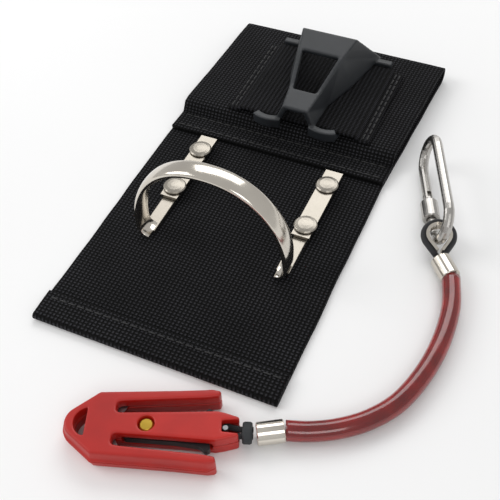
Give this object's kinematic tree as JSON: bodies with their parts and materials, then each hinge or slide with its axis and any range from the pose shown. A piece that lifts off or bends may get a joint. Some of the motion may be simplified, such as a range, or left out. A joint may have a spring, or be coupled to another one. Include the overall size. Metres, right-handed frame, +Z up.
{
  "type": "belt holster with a tethered line cutter",
  "caption": "Nylon belt holster with a steel hammer hoop and sliding clip, and a two-slot rope cutter on a sheathed lanyard with a small screw-gate carabiner.",
  "frame": {"origin": "under the middle of the holster and the cutter together, on the surface they lie on", "axes": "+Y from the cutter to the belt sleeve along the holster, +Z up from the holster's back to its hoop"},
  "size_m": [0.1485, 0.2418, 0.047],
  "materials": {
    "nylon": "heavy woven nylon, matt",
    "webbing": "woven polyamide webbing, matt",
    "clip_grey": "moulded nylon, fine grain",
    "steel": "nickel plated, bright",
    "red_shell": "moulded, satin gloss",
    "brass": "turned, bright",
    "guard_black": "moulded, satin",
    "blade_steel": "ground",
    "cord_black": "braided polyester",
    "keeper_grey": "moulded, matt",
    "tube_red": "soft clear red vinyl",
    "core_dark": "braided core, dark"
  },
  "bodies": {
    "holster": {"holster_sheet": "nylon", "clip_webbing": "webbing", "hammer_hoop": "steel", "strap_plate_left": "steel", "strap_plate_right": "steel", "rivet_left_low": "steel", "rivet_left_high": "steel", "rivet_right_low": "steel", "rivet_right_high": "steel", "washer_left_low": "steel", "washer_left_high": "steel", "washer_right_low": "steel", "washer_right_high": "steel"},
    "clip": {"clip_saddle": "clip_grey"},
    "lanyard": {"eye_cord_knife": "cord_black", "keeper_band": "keeper_grey", "ferrule_knife": "steel", "lanyard_tube": "tube_red", "core_cord": "core_dark", "ferrule_thimble": "steel", "eye_cord_thimble": "cord_black", "thimble": "steel"},
    "cutter": {"upper_shell": "red_shell", "lower_shell": "red_shell", "shell_screw": "brass", "screw_nut": "brass", "anchor_pin": "blade_steel", "lever_pin_near": "blade_steel", "lever_pin_far": "blade_steel", "blade_near": "blade_steel", "blade_far": "blade_steel"},
    "guard_near": {"guard_lever_near": "guard_black", "lever_spring_near": "blade_steel"},
    "guard_far": {"guard_lever_far": "guard_black", "lever_spring_far": "blade_steel"},
    "carabiner": {"carabiner_frame": "steel", "gate_pin": "steel"},
    "gate": {"carabiner_gate": "steel"},
    "sleeve": {"lock_sleeve": "steel"}
  },
  "joints": [
    {"name": "clip_slide", "type": "slide", "parent": "holster", "child": "clip", "axis": [1, 0, 0], "range_m": [-0.002, 0.002]},
    {"name": "lanyard_lift", "type": "slide", "parent": "holster", "child": "lanyard", "axis": [0, 0, 1], "range_m": [0, 0.15]},
    {"name": "cutter_swing", "type": "hinge", "parent": "lanyard", "child": "cutter", "pos_m": [0.0371, -0.09343, 0.00475], "axis": [0, 0, 1], "range_deg": [-20, 20], "deforming": ["eye_cord_knife"]},
    {"name": "guard_near_press", "type": "hinge", "parent": "cutter", "child": "guard_near", "pos_m": [0.00726, -0.1078, 0.00475], "axis": [0, 0, 1], "range_deg": [0, 2.8], "stiffness_Nm_per_rad": 0.6, "springref_deg": -2.86},
    {"name": "guard_far_press", "type": "hinge", "parent": "cutter", "child": "guard_far", "pos_m": [0.00521, -0.10238, 0.00475], "axis": [0, 0, 1], "range_deg": [-2.8, 0], "stiffness_Nm_per_rad": 0.6, "springref_deg": 2.86},
    {"name": "carabiner_swing", "type": "hinge", "parent": "lanyard", "child": "carabiner", "pos_m": [0.0766, 0.02137, 0.00891], "axis": [0.8932, 0.3791, -0.2419], "range_deg": [0, 9]},
    {"name": "gate_hinge", "type": "hinge", "parent": "carabiner", "child": "gate", "pos_m": [0.06806, 0.03817, 0.0037], "axis": [0.8932, 0.3791, -0.2419], "range_deg": [-22, 0], "stiffness_Nm_per_rad": 0.02, "springref_deg": 17.19},
    {"name": "sleeve_screw", "type": "slide", "parent": "gate", "child": "sleeve", "axis": [0.3907, -0.9205, 0], "range_m": [0, 0.0034]}
  ]
}
